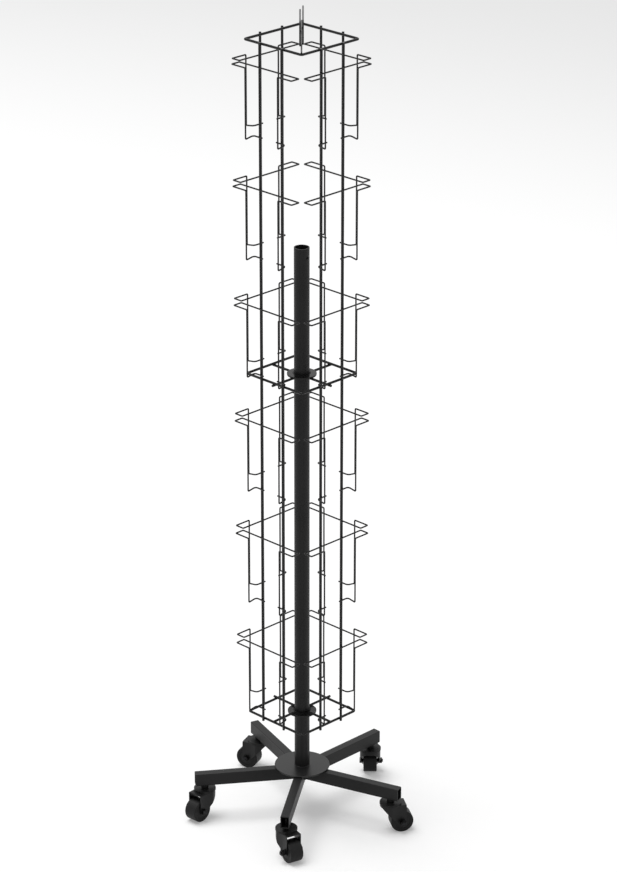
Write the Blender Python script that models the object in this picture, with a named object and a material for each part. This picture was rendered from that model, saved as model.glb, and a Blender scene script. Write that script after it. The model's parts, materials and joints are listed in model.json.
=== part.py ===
"""Greeting card display rack.

A welded wire cage with four faces of card pockets spins on a round post.
The post stands on a plate with five tube legs, each on a swivel caster.
Metres, +Z up, the floor at Z = 0.
"""

from math import asin, atan2, cos, degrees, hypot, pi, radians, sin, sqrt, tan

import bmesh
import bpy
from mathutils import Matrix, Vector

# Driving dimensions, in metres and degrees

# The post stands off the origin, which lies under the middle of the overall box.
POST_X = 0.0045
POST_Y = -0.0144

# Gap between pieces that touch, and how far welded wires sink into each other
CLEARANCE = 0.0003
WELD_SINK = 0.0008

# Cage wires
RING_WIRE = 0.0044
RING_EDGE = 0.1300
RING_BEND = 0.0040
ROD_WIRE = 0.0044
ROD_SPACING = 0.0500
ROD_OVERRUN = 0.0030
SPOKE_WIRE = 0.0044
SPOKE_OVERRUN = 0.0040

# Cage heights: bottom ring over the plate, then ring to ring
BOTTOM_RING_RISE = 0.1038
MIDDLE_RING_RISE = 0.6306
TOP_RING_RISE = 0.5759

# Card pockets, one bent wire each
FACES = 4
TIERS = 6
FIRST_TIER_DROP = 0.0370
TIER_PITCH = 0.2060
POCKET_WIRE = 0.0027
POCKET_WIDTH = 0.1355
POCKET_DEPTH = 0.0171
POCKET_HEIGHT = 0.1193
POCKET_LIP = 0.0308
POCKET_TAIL = 0.0090
POCKET_FLOOR_RISE = 0.0028
POCKET_HEEL_BEND = 0.0050
POCKET_FRONT_BEND = 0.0018

# Sign holder on the top ring: a long and a short loop, each set off along the bar
SIGN_WIRE = 0.0028
SIGN_BAR_OVERRUN = 0.0030
SIGN_LONG_LOOP = 0.0950
SIGN_LONG_SHIFT = -0.0055
SIGN_SHORT_LOOP = 0.0825
SIGN_SHORT_SHIFT = 0.0095
SIGN_LOOP_HEIGHT = 0.0370
SIGN_LOOP_BEND = 0.0060

# Hub discs and the bushes that turn on the post
DISC_DIAMETER = 0.0500
DISC_THICKNESS = 0.0030
BUSH_WALL = 0.0017
BUSH_FLANGE_WIDTH = 0.0033
BUSH_FLANGE_THICKNESS = 0.0015

# Post
POST_DIAMETER = 0.0262
POST_WALL = 0.0020
POST_LENGTH = 0.9567
POST_HOLE_DIAMETER = 0.0045
POST_HOLE_DROP = 0.0165
PIN_DIAMETER = 0.0040
PIN_REACH = 0.0040

# Base
PLATE_DIAMETER = 0.0960
PLATE_THICKNESS = 0.0026
PLATE_EDGE = 0.0005
LEGS = 5
FIRST_LEG_ANGLE = 18.0
LEG_WIDTH = 0.0152
LEG_HEIGHT = 0.0224
LEG_WALL = 0.0015
LEG_CORNER = 0.0010
LEG_REACH = 0.1888

# Casters
STEM_SETBACK = 0.0168
STEM_SIDE_GAP = 0.0020
STEM_LENGTH = 0.0120
COLLAR_HEIGHT = 0.0063
COLLAR_DIAMETER = 0.0130
CUP_DIAMETER = 0.0382
CUP_RISE = 0.0034
CUP_STEP = 0.0008
FORK_SHEET = 0.0012
FORK_CROWN_GAP = 0.0111
FORK_BOSS_DIAMETER = 0.0140
FORK_SKIRT_DROP = 0.0046
FORK_SKIRT_SETBACK = 0.0350
CASTER_TRAIL = 0.0187
CASTER_TURNS = (39.0, 44.0, 39.0, 39.0, 39.0)
WHEEL_DIAMETER = 0.0406
WHEEL_WIDTH = 0.0240
WHEEL_HUB_STEP = 0.0006
WHEEL_EDGE = 0.0016
WHEEL_RIM = 0.0062
WHEEL_WEB_INSET = 0.0006
AXLE_DIAMETER = 0.0060
AXLE_HEAD_DIAMETER = 0.0115
AXLE_HEAD_THICKNESS = 0.0046
AXLE_NUT_THICKNESS = 0.0070
AXLE_TIP = 0.0016

# Facets
WIRE_SIDES = 8
THIN_WIRE_SIDES = 6
ROUND_SIDES = 20
SMALL_SIDES = 8
CUP_SIDES = 16
WHEEL_SIDES = 20
PLATE_SIDES = 32
HEX_SIDES = 6
TIGHT_BEND_STEPS = 1
WIDE_BEND_STEPS = 2
BOSS_STEPS = 4
SMOOTH_ANGLE = radians(40)

# Heights that follow, from the floor up
AXLE_HEIGHT = WHEEL_DIAMETER / 2 * cos(pi / WHEEL_SIDES)
FORK_TOP = AXLE_HEIGHT + WHEEL_DIAMETER / 2 + FORK_CROWN_GAP + FORK_SHEET
CUP_TOP = FORK_TOP + CUP_RISE
LEG_UNDERSIDE = CUP_TOP + COLLAR_HEIGHT + CLEARANCE
LEG_TOP = LEG_UNDERSIDE + LEG_HEIGHT
PLATE_TOP = LEG_TOP + CLEARANCE + PLATE_THICKNESS
POST_FOOT = PLATE_TOP + CLEARANCE
BOTTOM_RING = PLATE_TOP + BOTTOM_RING_RISE
MIDDLE_RING = BOTTOM_RING + MIDDLE_RING_RISE
TOP_RING = MIDDLE_RING + TOP_RING_RISE

# Distances from the post's axis that follow
POST_RADIUS = POST_DIAMETER / 2
BUSH_BORE = POST_RADIUS + CLEARANCE
BUSH_RADIUS = BUSH_BORE + BUSH_WALL
DISC_BORE = BUSH_RADIUS + CLEARANCE
FLANGE_RADIUS = BUSH_RADIUS + BUSH_FLANGE_WIDTH
SPOKE_START = FLANGE_RADIUS + 3 * CLEARANCE
ROD_OFFSET = RING_EDGE / 2 + RING_WIRE / 2 + CLEARANCE + ROD_WIRE / 2
POCKET_BACK = ROD_OFFSET + ROD_WIRE / 2 + CLEARANCE + POCKET_WIRE / 2
LEG_START = LEG_WIDTH / 2 / tan(pi / LEGS) + CLEARANCE
STEM_CIRCLE = LEG_REACH - STEM_SETBACK

# Caster widths that follow
HUB_HALF = WHEEL_WIDTH / 2 + WHEEL_HUB_STEP
CHEEK_INNER = HUB_HALF + CLEARANCE
CHEEK_OUTER = CHEEK_INNER + FORK_SHEET
STEM_RADIUS = LEG_WIDTH / 2 - LEG_WALL - STEM_SIDE_GAP


def clear_scene():
    for obj in list(bpy.data.objects):
        bpy.data.objects.remove(obj, do_unlink=True)


def finish(name, colour, roughness, metallic):
    """A plain Principled material."""
    made = bpy.data.materials.new(name)
    made.use_nodes = True
    shader = made.node_tree.nodes["Principled BSDF"]
    shader.inputs["Base Color"].default_value = (*colour, 1.0)
    shader.inputs["Roughness"].default_value = roughness
    shader.inputs["Metallic"].default_value = metallic
    return made


def link(name, data):
    obj = bpy.data.objects.new(name, data)
    bpy.context.scene.collection.objects.link(obj)
    return obj


def empty(name, parent=None, location=(0, 0, 0), turn=0.0):
    made = link(name, None)
    made.parent = parent
    made.location = location
    made.rotation_euler.z = turn
    return made


def part(name, mesh, material, parent, location=(0, 0, 0), turn=0.0):
    """One named piece: its own copy of a mesh, with its material, on its parent."""
    own = mesh.copy()
    own.name = name
    own.materials.clear()
    own.materials.append(material)
    made = link(name, own)
    made.parent = parent
    made.location = location
    made.rotation_euler.z = turn
    return made


def tidy_mesh(name, bm):
    """A closed bmesh as a mesh with outward faces, smooth apart from its edges."""
    bmesh.ops.remove_doubles(bm, verts=bm.verts, dist=1e-6)
    bmesh.ops.recalc_face_normals(bm, faces=bm.faces)
    mesh = bpy.data.meshes.new(name)
    bm.to_mesh(mesh)
    bm.free()
    mesh.shade_smooth()
    mesh.set_sharp_from_angle(angle=SMOOTH_ANGLE)
    return mesh


def evaluated_mesh(obj):
    """The mesh that an object's curve or modifiers give, welded. The object goes."""
    bpy.context.view_layer.update()
    graph = bpy.context.evaluated_depsgraph_get()
    baked = bpy.data.meshes.new_from_object(obj.evaluated_get(graph))
    bm = bmesh.new()
    bm.from_mesh(baked)
    name = obj.name
    bpy.data.objects.remove(obj, do_unlink=True)
    return tidy_mesh(name, bm)


def combine(body, tools):
    """Boolean steps on a mesh: each tool is an operation and a mesh."""
    base = link("body", body)
    helpers = []
    for operation, mesh in tools:
        helper = link("tool", mesh)
        helper.hide_render = True
        helper.display_type = "WIRE"
        step = base.modifiers.new(operation.title(), "BOOLEAN")
        step.operation = operation
        step.object = helper
        helpers.append(helper)
    result = evaluated_mesh(base)
    for helper in helpers:
        bpy.data.objects.remove(helper, do_unlink=True)
    return result


def bend(corners, bends):
    """A bent wire's centre line: each inner corner becomes an arc, of its own radius and steps."""
    points = [corners[0]]
    for before, corner, after, (radius, steps) in zip(corners, corners[1:], corners[2:], bends):
        way_in = (corner - before).normalized()
        way_out = (after - corner).normalized()
        angle = way_in.angle(way_out)
        start = corner - way_in * radius * tan(angle / 2)
        inward = (way_out - way_in).normalized()
        centre = corner + inward * radius / cos(angle / 2)
        axis = way_in.cross(way_out)
        for step in range(steps + 1):
            turn = Matrix.Rotation(angle * step / steps, 3, axis)
            points.append(centre + turn @ (start - centre))
    points.append(corners[-1])
    return points


def wire(points, diameter, sides, closed=False):
    """A round wire along a line of points, as a bevelled curve with filled ends."""
    curve = bpy.data.curves.new("wire", "CURVE")
    curve.dimensions = "3D"
    curve.bevel_depth = diameter / 2
    curve.bevel_resolution = (sides - 4) // 2
    curve.use_fill_caps = True
    spline = curve.splines.new("POLY")
    spline.points.add(len(points) - 1)
    for spot, place in zip(spline.points, points):
        spot.co = (*place, 1.0)
    spline.use_cyclic_u = closed
    return evaluated_mesh(link("wire", curve))


def turned(profile, sides, bored=True):
    """A profile of (radius, height) points spun round Z, with a flat facet at its foot."""
    bm = bmesh.new()
    start = Matrix.Rotation(pi / sides, 3, "Z")
    spots = [bm.verts.new(start @ Vector((radius, 0, height))) for radius, height in profile]
    pairs = list(zip(spots, spots[1:]))
    if bored:
        pairs.append((spots[-1], spots[0]))
    edges = [bm.edges.new(pair) for pair in pairs]
    bmesh.ops.spin(
        bm, geom=spots + edges, axis=(0, 0, 1), cent=(0, 0, 0), angle=2 * pi, steps=sides, use_merge=True
    )
    return tidy_mesh("turned", bm)


def rod(radius, low, high, sides=SMALL_SIDES):
    """A solid round bar on Z."""
    return turned(((0, high), (radius, high), (radius, low), (0, low)), sides, bored=False)


def bore_cutter(radius, low, high):
    """A bar on Z whose flats lie at the radius, so that what turns in its hole clears them."""
    return rod(radius / cos(pi / SMALL_SIDES), low, high)


def placed(mesh, turn=Matrix.Identity(3), shift=(0, 0, 0)):
    """A mesh turned, then moved."""
    mesh.transform(Matrix.Translation(shift) @ turn.to_4x4())
    return mesh


def along_x(mesh):
    return placed(mesh, Matrix.Rotation(pi / 2, 3, "Y"))


def along_y(mesh):
    return placed(mesh, Matrix.Rotation(-pi / 2, 3, "X"))


def prism(outline, low, high, frame=Matrix.Identity(3)):
    """A closed outline of (x, y) points drawn out along Z, then turned by frame."""
    bm = bmesh.new()
    face = bm.faces.new([bm.verts.new((x, y, low)) for x, y in outline])
    drawn = bmesh.ops.extrude_face_region(bm, geom=[face])
    top = [item for item in drawn["geom"] if isinstance(item, bmesh.types.BMVert)]
    bmesh.ops.translate(bm, verts=top, vec=(0, 0, high - low))
    bm.transform(frame.to_4x4())
    return tidy_mesh("prism", bm)


def arc(centre, radius, first, last, steps):
    """Points on an arc, in degrees from +X."""
    turns = [radians(first + (last - first) * step / steps) for step in range(steps + 1)]
    return [(centre[0] + radius * cos(turn), centre[1] + radius * sin(turn)) for turn in turns]


def rounded_rectangle(width, height, corner):
    half_width = width / 2 - corner
    half_height = height / 2 - corner
    centres = ((half_width, half_height), (-half_width, half_height))
    centres += ((-half_width, -half_height), (half_width, -half_height))
    outline = []
    for quarter, centre in enumerate(centres):
        outline += arc(centre, corner, 90 * quarter, 90 * quarter + 90, TIGHT_BEND_STEPS)
    return outline


# Cage pieces, on the post's axis


def ring_mesh():
    """A square of wire with bent corners, its joint in the middle of one side."""
    half = RING_EDGE / 2
    seam = Vector((half, 0, 0))
    corners = [Vector((half, half, 0)), Vector((-half, half, 0))]
    corners += [Vector((-half, -half, 0)), Vector((half, -half, 0))]
    line = bend([seam, *corners, seam], [(RING_BEND, TIGHT_BEND_STEPS)] * len(corners))
    return wire(line[:-1], RING_WIRE, WIRE_SIDES, closed=True)


def spoke_mesh(turn, height):
    start = Vector((SPOKE_START, 0, height))
    end = Vector((RING_EDGE / 2 + SPOKE_OVERRUN, 0, height))
    return placed(wire([start, end], SPOKE_WIRE, WIRE_SIDES), Matrix.Rotation(turn, 3, "Z"))


def hub_ring_mesh(side):
    """A ring with four spokes welded to it and a bored disc on the spokes.

    The spokes lie over the ring where side is 1 and under it where side is -1.
    The disc is on the spokes' other face, level with the ring.
    """
    spoke_height = side * ((RING_WIRE + SPOKE_WIRE) / 2 - WELD_SINK)
    near = spoke_height - side * (SPOKE_WIRE / 2 - WELD_SINK)
    low, high = sorted((near, near - side * DISC_THICKNESS))
    disc = turned(
        ((DISC_BORE, high), (DISC_DIAMETER / 2, high), (DISC_DIAMETER / 2, low), (DISC_BORE, low)),
        ROUND_SIDES,
    )
    tools = [("UNION", spoke_mesh(2 * pi * face / FACES, spoke_height)) for face in range(FACES)]
    return combine(disc, [*tools, ("UNION", ring_mesh())]), low


def bush_mesh(disc_low):
    """A flanged bush: its sleeve in the disc's bore, its flange under the disc."""
    top = disc_low + DISC_THICKNESS
    flange_top = disc_low - CLEARANCE
    flange_low = flange_top - BUSH_FLANGE_THICKNESS
    profile = (
        (BUSH_BORE, top),
        (BUSH_RADIUS, top),
        (BUSH_RADIUS, flange_top),
        (FLANGE_RADIUS, flange_top),
        (FLANGE_RADIUS, flange_low),
        (BUSH_BORE, flange_low),
    )
    return turned(profile, ROUND_SIDES), flange_low


def rod_mesh():
    """An upright wire, from under the bottom ring to over the top one."""
    return rod(ROD_WIRE / 2, BOTTOM_RING - ROD_OVERRUN, TOP_RING + ROD_OVERRUN, WIRE_SIDES)


def pocket_mesh():
    """A card pocket's wire on the +X face, with its back line at Z = 0.

    From a tail on one upright it runs out along the face, forward, up the front, out
    along a lip, back, and across both uprights. The other half mirrors it.
    """
    front = POCKET_BACK + POCKET_DEPTH
    upright = POCKET_WIDTH / 2 - POCKET_LIP
    tail = ROD_SPACING / 2 - POCKET_TAIL
    floor = POCKET_FLOOR_RISE - POCKET_HEIGHT
    half = [
        Vector((POCKET_BACK, tail, floor)),
        Vector((POCKET_BACK, upright, floor)),
        Vector((front, upright, -POCKET_HEIGHT)),
        Vector((front, upright, 0)),
        Vector((front, POCKET_WIDTH / 2, 0)),
        Vector((POCKET_BACK, POCKET_WIDTH / 2, 0)),
    ]
    other = [Vector((spot.x, -spot.y, spot.z)) for spot in reversed(half)]
    bends = [(POCKET_HEEL_BEND, WIDE_BEND_STEPS)]
    bends += [(POCKET_FRONT_BEND, TIGHT_BEND_STEPS)] * (len(half) - 2)
    line = bend(half + other, bends + bends[::-1])
    return wire(line, POCKET_WIRE, THIN_WIRE_SIDES)


def sign_holder_mesh():
    """A bar on the ring's diagonal with an upright loop welded to each side of it."""
    half = RING_EDGE / sqrt(2) + SIGN_BAR_OVERRUN
    bar = wire([Vector((-half, 0, 0)), Vector((half, 0, 0))], SIGN_WIRE, THIN_WIRE_SIDES)
    offset = SIGN_WIRE - WELD_SINK / 2
    loops = []
    sides = ((1, SIGN_LONG_LOOP, SIGN_LONG_SHIFT), (-1, SIGN_SHORT_LOOP, SIGN_SHORT_SHIFT))
    for side, length, middle in sides:
        first = middle - length / 2
        last = middle + length / 2
        corners = [
            Vector((first, side * offset, -SIGN_WIRE / 2)),
            Vector((first, side * offset, SIGN_LOOP_HEIGHT)),
            Vector((last, side * offset, SIGN_LOOP_HEIGHT)),
            Vector((last, side * offset, -SIGN_WIRE / 2)),
        ]
        line = bend(corners, [(SIGN_LOOP_BEND, WIDE_BEND_STEPS)] * 2)
        loops.append(("UNION", wire(line, SIGN_WIRE, THIN_WIRE_SIDES)))
    return combine(bar, loops)


# Base pieces


def post_mesh(pin_height):
    """An open tube with a cross hole near its top and a cross pin under the lower bush."""
    top = POST_FOOT + POST_LENGTH
    bore = POST_RADIUS - POST_WALL
    profile = ((bore, top), (POST_RADIUS, top), (POST_RADIUS, POST_FOOT), (bore, POST_FOOT))
    hole = along_x(rod(POST_HOLE_DIAMETER / 2, -POST_DIAMETER, POST_DIAMETER))
    pin_half = POST_RADIUS + PIN_REACH
    pin = along_x(rod(PIN_DIAMETER / 2, -pin_half, pin_half, WIRE_SIDES))
    return combine(
        turned(profile, ROUND_SIDES),
        [
            ("DIFFERENCE", placed(hole, shift=(0, 0, top - POST_HOLE_DROP))),
            ("UNION", placed(pin, shift=(0, 0, pin_height))),
        ],
    )


def plate_mesh():
    """The round plate between the post and the legs, with a small edge break."""
    radius = PLATE_DIAMETER / 2
    low = PLATE_TOP - PLATE_THICKNESS
    profile = (
        (0, PLATE_TOP),
        (radius - PLATE_EDGE, PLATE_TOP),
        (radius, PLATE_TOP - PLATE_EDGE),
        (radius, low),
        (0, low),
    )
    return turned(profile, PLATE_SIDES, bored=False)


def leg_mesh():
    """A rectangular tube along +X, open at its ends, with a hole below for the caster stem."""
    to_x = Matrix(((0, 0, 1), (1, 0, 0), (0, 1, 0)))
    middle = (0, 0, LEG_UNDERSIDE + LEG_HEIGHT / 2)
    outer = prism(rounded_rectangle(LEG_WIDTH, LEG_HEIGHT, LEG_CORNER), LEG_START, LEG_REACH, to_x)
    inner_corner = LEG_CORNER - LEG_WALL if LEG_CORNER > LEG_WALL else CLEARANCE
    inside = rounded_rectangle(LEG_WIDTH - 2 * LEG_WALL, LEG_HEIGHT - 2 * LEG_WALL, inner_corner)
    hollow = prism(inside, LEG_START - LEG_WIDTH, LEG_REACH + LEG_WIDTH, to_x)
    hole = bore_cutter(STEM_RADIUS + CLEARANCE, LEG_UNDERSIDE - LEG_WALL, LEG_UNDERSIDE + 2 * LEG_WALL)
    return combine(
        placed(outer, shift=middle),
        [
            ("DIFFERENCE", placed(hollow, shift=middle)),
            ("DIFFERENCE", placed(hole, shift=(STEM_CIRCLE, 0, 0))),
        ],
    )


# Caster pieces: +X trails from the swivel axis, +Y along the axle


def fork_side():
    """Side view of the fork, as (x, z) points: skirt, slanted back edge, axle boss, front."""
    boss = FORK_BOSS_DIAMETER / 2
    back = -CUP_DIAMETER
    skirt = FORK_TOP - FORK_SKIRT_DROP
    corner = CASTER_TRAIL - FORK_SKIRT_SETBACK
    rise = skirt - AXLE_HEIGHT
    slant = atan2(rise, FORK_SKIRT_SETBACK) + asin(boss / hypot(rise, FORK_SKIRT_SETBACK))
    outline = [(back, FORK_TOP), (back, skirt), (corner, skirt)]
    outline += arc((CASTER_TRAIL, AXLE_HEIGHT), boss, 270 - degrees(slant), 360, BOSS_STEPS)
    outline.append((CASTER_TRAIL + boss, FORK_TOP))
    return outline


def fork_plan(back_radius, front_half, front):
    """Top view of the fork, as (x, y) points: round behind the swivel axis, then drawn in
    to the flat cheeks that hold the axle."""
    cheek = CASTER_TRAIL - FORK_BOSS_DIAMETER / 2
    sides = [(cheek, -front_half), (front, -front_half), (front, front_half), (cheek, front_half)]
    return arc((0, 0), back_radius, 90, 270, CUP_SIDES // 2) + sides


def fork_mesh():
    """A pressed fork, open below and in front, with its swivel cup and stem on top."""
    to_xz = Matrix(((1, 0, 0), (0, 0, 1), (0, 1, 0)))
    cup_radius = CUP_DIAMETER / 2
    skirt_radius = cup_radius - CUP_STEP
    front = CASTER_TRAIL + FORK_BOSS_DIAMETER
    hood_under = FORK_TOP - FORK_SHEET
    shoulder = FORK_SHEET / 2
    shell = prism(fork_plan(skirt_radius, CHEEK_OUTER, front), 0, FORK_TOP + FORK_SHEET)
    side = prism(fork_side(), -CUP_DIAMETER, CUP_DIAMETER, to_xz)
    hollow = prism(fork_plan(skirt_radius - FORK_SHEET, CHEEK_INNER, 2 * front), -FORK_SHEET, hood_under)
    cup = turned(
        (
            (0, CUP_TOP),
            (cup_radius - shoulder, CUP_TOP),
            (cup_radius, CUP_TOP - shoulder),
            (cup_radius, FORK_TOP - shoulder),
            (0, FORK_TOP - shoulder),
        ),
        CUP_SIDES,
        bored=False,
    )
    stem_top = LEG_UNDERSIDE + STEM_LENGTH
    collar_top = CUP_TOP + COLLAR_HEIGHT
    stem = turned(
        (
            (0, stem_top),
            (STEM_RADIUS, stem_top),
            (STEM_RADIUS, collar_top),
            (COLLAR_DIAMETER / 2, collar_top),
            (COLLAR_DIAMETER / 2, CUP_TOP - shoulder),
            (0, CUP_TOP - shoulder),
        ),
        SMALL_SIDES,
        bored=False,
    )
    axle_hole = along_y(rod(AXLE_DIAMETER / 2 + CLEARANCE, -2 * CHEEK_OUTER, 2 * CHEEK_OUTER))
    return combine(
        shell,
        [
            ("INTERSECT", side),
            ("DIFFERENCE", hollow),
            ("UNION", cup),
            ("UNION", stem),
            ("DIFFERENCE", placed(axle_hole, shift=(CASTER_TRAIL, 0, AXLE_HEIGHT))),
        ],
    )


def wheel_mesh():
    """A wheel with a wide tread and webs that rise from the rim to the bore, its axle along Y."""
    radius = WHEEL_DIAMETER / 2
    half = WHEEL_WIDTH / 2
    bore = AXLE_DIAMETER / 2 + CLEARANCE
    inside = radius - WHEEL_RIM
    web = half - WHEEL_WEB_INSET
    side = (
        (bore, HUB_HALF),
        (inside, web),
        (inside, half),
        (radius - WHEEL_EDGE, half),
        (radius, half - WHEEL_EDGE),
    )
    profile = side + tuple((spot, -height) for spot, height in reversed(side))
    return along_y(turned(profile, WHEEL_SIDES))


def axle_mesh():
    """The axle bolt with its hexagon head and nut outside the cheeks."""
    shank = AXLE_DIAMETER / 2
    seat = CHEEK_OUTER + CLEARANCE
    head_end = seat + AXLE_HEAD_THICKNESS
    nut_end = seat + AXLE_NUT_THICKNESS
    bolt = rod(shank, -nut_end - AXLE_TIP, seat + AXLE_HEAD_THICKNESS / 2)
    head = rod(AXLE_HEAD_DIAMETER / 2, seat, head_end, HEX_SIDES)
    nut = rod(AXLE_HEAD_DIAMETER / 2, -nut_end, -seat, HEX_SIDES)
    return along_y(combine(bolt, [("UNION", head), ("UNION", nut)]))


# Assembly


def build_base(stand, paint, coat, pin_height):
    part("post", post_mesh(pin_height), paint, stand)
    part("base_plate", plate_mesh(), coat, stand)
    leg = leg_mesh()
    for number in range(LEGS):
        turn = radians(FIRST_LEG_ANGLE) + 2 * pi * number / LEGS
        part(f"leg_{number + 1}", leg, coat, stand, turn=turn)


def build_casters(stand, coat, rubber, zinc):
    fork, wheel, axle = fork_mesh(), wheel_mesh(), axle_mesh()
    hub = (CASTER_TRAIL, 0, AXLE_HEIGHT)
    for number in range(LEGS):
        turn = radians(FIRST_LEG_ANGLE) + 2 * pi * number / LEGS
        spot = (STEM_CIRCLE * cos(turn), STEM_CIRCLE * sin(turn), 0)
        trail = turn + radians(CASTER_TURNS[number])
        swivel = empty(f"caster_swivel_{number + 1}", stand, spot, trail)
        part(f"caster_fork_{number + 1}", fork, coat, swivel)
        part(f"caster_axle_{number + 1}", axle, zinc, swivel, hub)
        part(f"caster_wheel_{number + 1}", wheel, rubber, swivel, hub)


def build_cage(stand, paint, nylon):
    """The turning cage. Returns the height of the lower bush's flange."""
    cage = empty("cage_axis", stand)
    part("top_ring", ring_mesh(), paint, cage, (0, 0, TOP_RING))
    flange_low = {}
    for name, side, height in (("middle", -1, MIDDLE_RING), ("bottom", 1, BOTTOM_RING)):
        ring, disc_low = hub_ring_mesh(side)
        bush, low = bush_mesh(disc_low)
        part(f"{name}_hub_ring", ring, paint, cage, (0, 0, height))
        part(f"{name}_bush", bush, nylon, cage, (0, 0, height))
        flange_low[name] = height + low
    bar_height = TOP_RING + (RING_WIRE + SIGN_WIRE) / 2 + CLEARANCE
    part("sign_holder", sign_holder_mesh(), paint, cage, (0, 0, bar_height), -pi / FACES)
    upright, pocket = rod_mesh(), pocket_mesh()
    for face in range(FACES):
        turn = 2 * pi * face / FACES
        letter = "abcd"[face]
        for side, sign in (("left", -1), ("right", 1)):
            spot = Matrix.Rotation(turn, 3, "Z") @ Vector((ROD_OFFSET, sign * ROD_SPACING / 2, 0))
            part(f"rod_{letter}_{side}", upright, paint, cage, spot)
        for tier in range(TIERS):
            height = TOP_RING - FIRST_TIER_DROP - TIER_PITCH * tier
            part(f"card_pocket_{letter}{tier + 1}", pocket, paint, cage, (0, 0, height), turn)
    return flange_low["bottom"]


def build():
    clear_scene()
    wire_paint = finish("black_wire_paint", (0.012, 0.012, 0.013), 0.42, 0.0)
    tube_paint = finish("black_tube_paint", (0.020, 0.020, 0.021), 0.45, 0.0)
    base_coat = finish("black_base_coat", (0.026, 0.026, 0.027), 0.50, 0.0)
    rubber = finish("black_wheel_rubber", (0.022, 0.022, 0.023), 0.60, 0.0)
    zinc = finish("black_zinc", (0.030, 0.030, 0.032), 0.38, 0.8)
    nylon = finish("black_nylon", (0.018, 0.018, 0.018), 0.48, 0.0)
    stand = empty("stand", location=(POST_X, POST_Y, 0))
    bush_flange = build_cage(stand, wire_paint, nylon)
    build_base(stand, tube_paint, base_coat, bush_flange - CLEARANCE - PIN_DIAMETER / 2)
    build_casters(stand, base_coat, rubber, zinc)


build()
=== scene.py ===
# %% [markdown]
# # A card rack in black wire
#
# The rack is a tall cage of welded wire with pockets for greeting cards. It turns on a round post
# that stands on five legs with casters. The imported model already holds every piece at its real
# size and place, but its wires have six or eight flat sides. This lesson models the same pieces
# again, by hand, with the round bends, pressed edges and finishes that the eye expects, and lets
# each new piece ride on the body that carries it.

import json
from math import atan2, pi, radians, sqrt, tan

import bmesh
import bpy
from mathutils import Matrix, Vector


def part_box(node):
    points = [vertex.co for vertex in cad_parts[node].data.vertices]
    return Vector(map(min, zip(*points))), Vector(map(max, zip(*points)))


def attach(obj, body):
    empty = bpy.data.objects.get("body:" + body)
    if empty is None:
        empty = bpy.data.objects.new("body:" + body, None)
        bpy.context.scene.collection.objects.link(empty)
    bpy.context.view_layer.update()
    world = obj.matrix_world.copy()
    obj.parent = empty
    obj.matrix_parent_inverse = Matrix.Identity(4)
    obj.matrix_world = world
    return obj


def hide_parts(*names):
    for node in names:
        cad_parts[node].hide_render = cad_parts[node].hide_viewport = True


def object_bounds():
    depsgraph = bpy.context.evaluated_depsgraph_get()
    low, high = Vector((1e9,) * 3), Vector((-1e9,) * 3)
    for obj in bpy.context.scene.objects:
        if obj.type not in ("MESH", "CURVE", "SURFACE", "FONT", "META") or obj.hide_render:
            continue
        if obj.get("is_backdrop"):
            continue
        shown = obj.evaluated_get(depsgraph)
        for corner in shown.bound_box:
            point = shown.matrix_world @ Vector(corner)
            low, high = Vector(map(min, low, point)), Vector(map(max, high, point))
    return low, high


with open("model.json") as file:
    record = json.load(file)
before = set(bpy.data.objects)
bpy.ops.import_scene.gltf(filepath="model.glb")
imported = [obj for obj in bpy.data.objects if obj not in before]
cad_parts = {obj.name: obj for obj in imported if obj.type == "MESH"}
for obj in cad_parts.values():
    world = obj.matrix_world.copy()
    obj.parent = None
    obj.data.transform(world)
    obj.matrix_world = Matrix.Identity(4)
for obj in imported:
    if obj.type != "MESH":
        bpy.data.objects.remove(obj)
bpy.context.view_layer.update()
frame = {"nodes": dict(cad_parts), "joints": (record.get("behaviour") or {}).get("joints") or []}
joints = {joint["name"]: joint for joint in frame["joints"]}
post_axis = Vector(joints["cage_spin"]["pos_m"])
print("solids", len(frame["nodes"]), "post axis at", [round(value, 4) for value in post_axis])

# %% [markdown]
# ## The camera
#
# The photograph was taken from well above and far away, so the uprights stay almost parallel. A
# long lens gives that look. Its place is written from the post's axis, because the post is the one
# straight line that can be followed from the top of the picture to the bottom.

# %% Place the camera
CAMERA_FROM_POST = Vector((3.7419, -3.7355, 2.9058))
CAMERA_TILT = radians(67.437)
CAMERA_TURN = radians(44.928)
SENSOR_HEIGHT_MM = 36.0
LENS_MM = 140.64

bpy.ops.object.select_all(action="DESELECT")
bpy.ops.object.camera_add(location=post_axis + CAMERA_FROM_POST, rotation=(CAMERA_TILT, 0, CAMERA_TURN))
camera = bpy.context.object
camera.data.sensor_fit = "VERTICAL"
camera.data.sensor_height = SENSOR_HEIGHT_MM
camera.data.lens = LENS_MM
bpy.context.scene.camera = camera
bpy.context.scene.view_settings.view_transform = "Standard"
print("camera at", [round(value, 3) for value in camera.location])

# %% [markdown]
# ## Writing shaders as sums
#
# A finish is a small calculation: noise times a number, plus another number. Wiring that by hand
# takes many clicks, so one class wraps a node's output. Adding or multiplying wrapped outputs adds
# Math nodes, and one method makes any other node from its type, its settings and its inputs.


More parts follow.
